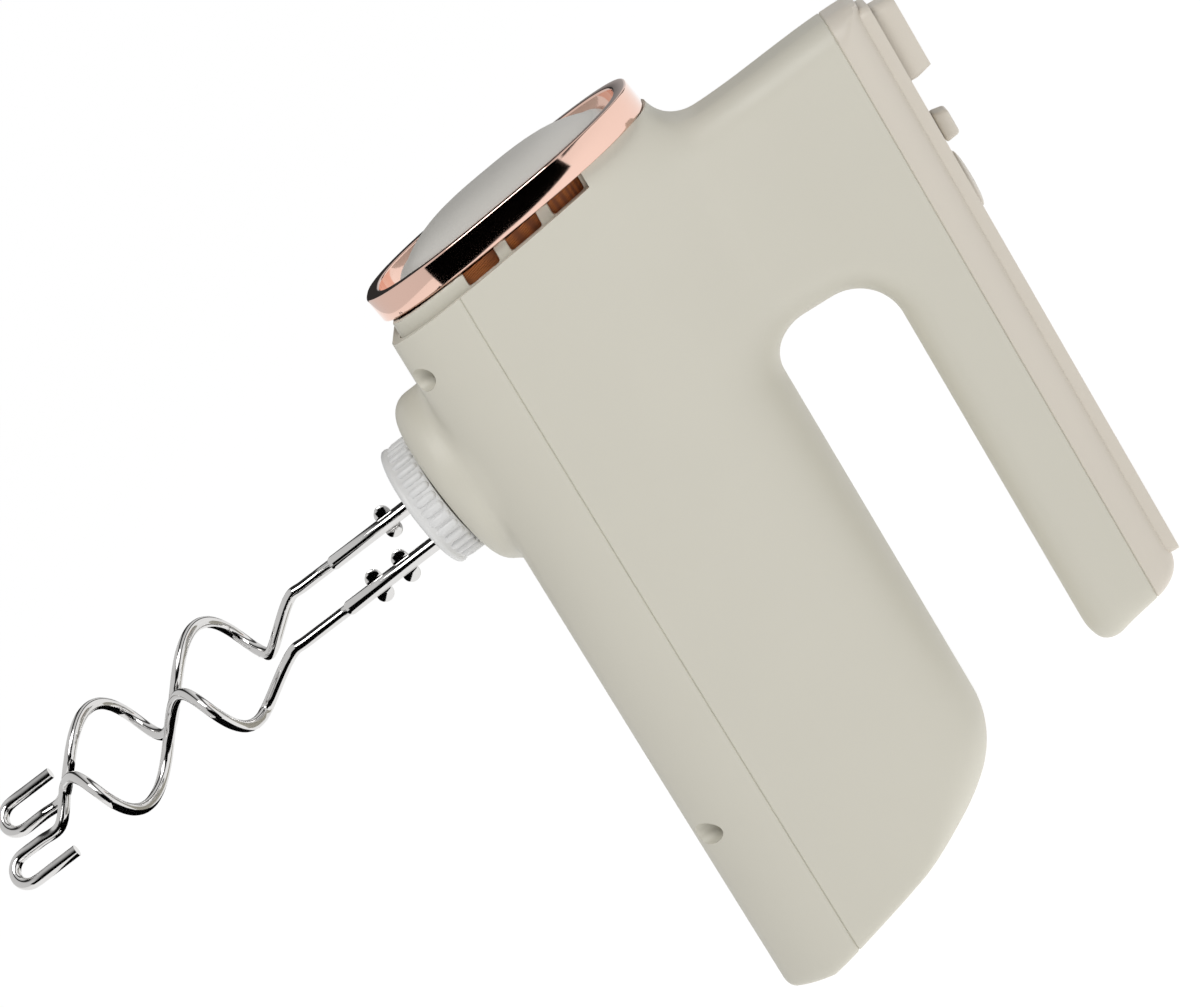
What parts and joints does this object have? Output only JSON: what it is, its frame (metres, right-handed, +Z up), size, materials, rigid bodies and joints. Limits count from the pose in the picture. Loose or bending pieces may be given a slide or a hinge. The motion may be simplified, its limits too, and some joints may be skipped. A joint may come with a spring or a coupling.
{
  "type": "hand mixer",
  "caption": "Hand-held kitchen mixer with a loop handle, thumb controls, a plated nose ring and wire dough hooks, standing on its heel.",
  "frame": {"origin": "middle of the flat heel face at the tail of the casing, on the surface it stands on", "axes": "+Z up, out of the heel; the nose points up, the hooks point to -X and the handle is on the +X side; Y runs across the mixer"},
  "size_m": [0.3102, 0.068, 0.1987],
  "materials": {
    "casing": "soft-touch matt ivory",
    "handle_trim": "fine satin, slightly warmer ivory",
    "rose_gold": "polished rose-gold plating",
    "nose_panel": "satin",
    "vent_screen": "matt brown",
    "collar": "natural white moulding",
    "bright_steel": "polished plated wire",
    "steel": "turned",
    "laminations": "varnished stack",
    "copper_wire": "enamelled winding",
    "brass": "stamped and sintered",
    "gear_plastic": "natural nylon",
    "dark_plastic": "glass-filled black",
    "carbon": "pressed carbon",
    "board": "solder resist",
    "die_cast": "as cast"
  },
  "bodies": {
    "housing": {"main_housing": "casing", "bottom_cover": "casing", "handle_cover": "handle_trim", "switch_panel": "handle_trim", "nose_ring": "rose_gold", "nose_panel": "nose_panel", "vent_grille": "casing", "spindle_collar": "collar", "cover_screw_1": "steel", "cover_screw_2": "steel", "cover_screw_3": "steel", "cover_screw_4": "steel", "cord_gland": "dark_plastic", "stator_core": "laminations", "field_coil_1": "copper_wire", "field_coil_2": "copper_wire", "motor_bracket": "dark_plastic", "motor_bolt_1": "steel", "motor_bolt_2": "steel", "carbon_brush_1": "carbon", "carbon_brush_2": "carbon", "brush_holder_1": "brass", "brush_holder_2": "brass", "bearing_front": "brass", "bearing_rear": "brass", "gear_frame": "die_cast", "spindle_bush_left": "brass", "spindle_bush_right": "brass", "ejector_spring": "steel", "speed_switch": "dark_plastic", "turbo_switch": "dark_plastic", "control_board": "board", "vent_screen": "vent_screen"},
    "ejector": {"ejector_button": "handle_trim", "ejector_yoke": "gear_plastic"},
    "speed_knob": {"speed_knob": "handle_trim"},
    "turbo_button": {"turbo_button": "handle_trim"},
    "spindle_left": {"spindle_sleeve_left": "steel", "worm_wheel_left": "gear_plastic"},
    "spindle_right": {"spindle_sleeve_right": "steel", "worm_wheel_right": "gear_plastic"},
    "rotor": {"motor_shaft": "steel", "armature_core": "laminations", "commutator": "copper_wire", "cooling_fan": "dark_plastic"},
    "hook_left": {"hook_left": "bright_steel"},
    "hook_right": {"hook_right": "bright_steel"}
  },
  "joints": [
    {"name": "spindle_left_spin", "type": "hinge", "parent": "housing", "child": "spindle_left", "pos_m": [0.02582, -0.011, 0.13876], "axis": [-0.9799, 0, 0.1994], "continuous": true},
    {"name": "spindle_right_spin", "type": "hinge", "parent": "housing", "child": "spindle_right", "pos_m": [0.02737, 0.011, 0.14641], "axis": [-0.9799, 0, 0.1994], "continuous": true},
    {"name": "motor_spin", "type": "hinge", "parent": "housing", "child": "rotor", "pos_m": [0.02324, 0, 0.10602], "axis": [-0.1994, 0, -0.9799], "continuous": true},
    {"name": "hook_left_release", "type": "slide", "parent": "spindle_left", "child": "hook_left", "axis": [-0.9799, 0, 0.1994], "range_m": [0, 0.045]},
    {"name": "hook_right_release", "type": "slide", "parent": "spindle_right", "child": "hook_right", "axis": [-0.9799, 0, 0.1994], "range_m": [0, 0.045]},
    {"name": "ejector_press", "type": "slide", "parent": "housing", "child": "ejector", "axis": [-0.9483, 0, 0.3173], "range_m": [0, 0.006], "stiffness_N_per_m": 250, "springref_m": -0.004},
    {"name": "turbo_press", "type": "slide", "parent": "housing", "child": "turbo_button", "axis": [-0.9483, 0, 0.3173], "range_m": [0, 0.0018], "stiffness_N_per_m": 300, "springref_m": -0.002},
    {"name": "speed_slide", "type": "slide", "parent": "housing", "child": "speed_knob", "axis": [0.3173, 0, 0.9483], "range_m": [0, 0.008]}
  ],
  "couplings": [
    {"joint": "spindle_right_spin", "follows": "spindle_left_spin", "ratio": -1},
    {"joint": "motor_spin", "follows": "spindle_left_spin", "ratio": 20}
  ]
}
